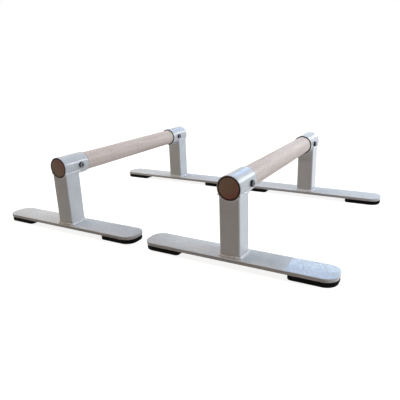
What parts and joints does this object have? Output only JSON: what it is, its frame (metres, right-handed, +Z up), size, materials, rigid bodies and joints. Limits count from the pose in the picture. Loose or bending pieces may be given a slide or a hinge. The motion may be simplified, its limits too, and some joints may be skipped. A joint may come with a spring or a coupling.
{
  "type": "parallette bar",
  "caption": "Low parallette stands for floor gymnastics: a round wooden handle clamped in steel sleeves on square posts, over flat steel feet with rubber pads.",
  "frame": {"origin": "on the floor, midway between the stands and midway between the front and rear feet", "axes": "+X along the feet to the right, +Y along the handles towards the rear, +Z up"},
  "size_m": [0.827, 0.54, 0.1761],
  "materials": {
    "turned_wood": "sanded and oiled beech, fine grain along the handle, dark end grain",
    "silver_coated_steel": "glossy silver powder coat with a fine orange-peel texture",
    "silver_coated_weld": "rippled weld bead under the same silver coat",
    "black_rubber": "matt moulded black rubber",
    "black_liner": "matt black liner tube",
    "dark_zinc_steel": "dark machined socket screw",
    "brass": "plain turned brass"
  },
  "bodies": {
    "right_stand": {"right_handle": "turned_wood", "right_front_sleeve": "silver_coated_steel", "right_rear_sleeve": "silver_coated_steel", "right_front_liner": "black_liner", "right_rear_liner": "black_liner", "right_front_post": "silver_coated_steel", "right_rear_post": "silver_coated_steel", "right_front_foot": "silver_coated_steel", "right_rear_foot": "silver_coated_steel", "right_front_left_pad": "black_rubber", "right_front_right_pad": "black_rubber", "right_rear_left_pad": "black_rubber", "right_rear_right_pad": "black_rubber", "right_front_screw": "dark_zinc_steel", "right_rear_screw": "dark_zinc_steel", "right_front_insert": "brass", "right_rear_insert": "brass", "right_front_sleeve_weld": "silver_coated_weld", "right_rear_sleeve_weld": "silver_coated_weld", "right_front_foot_weld": "silver_coated_weld", "right_rear_foot_weld": "silver_coated_weld"},
    "left_stand": {"left_handle": "turned_wood", "left_front_sleeve": "silver_coated_steel", "left_rear_sleeve": "silver_coated_steel", "left_front_liner": "black_liner", "left_rear_liner": "black_liner", "left_front_post": "silver_coated_steel", "left_rear_post": "silver_coated_steel", "left_front_foot": "silver_coated_steel", "left_rear_foot": "silver_coated_steel", "left_front_left_pad": "black_rubber", "left_front_right_pad": "black_rubber", "left_rear_left_pad": "black_rubber", "left_rear_right_pad": "black_rubber", "left_front_screw": "dark_zinc_steel", "left_rear_screw": "dark_zinc_steel", "left_front_insert": "brass", "left_rear_insert": "brass", "left_front_sleeve_weld": "silver_coated_weld", "left_rear_sleeve_weld": "silver_coated_weld", "left_front_foot_weld": "silver_coated_weld", "left_rear_foot_weld": "silver_coated_weld"}
  },
  "joints": [
    {"name": "pair_spacing", "type": "slide", "parent": "right_stand", "child": "left_stand", "axis": [1, 0, 0], "range_m": [-0.17, 0.03]}
  ]
}
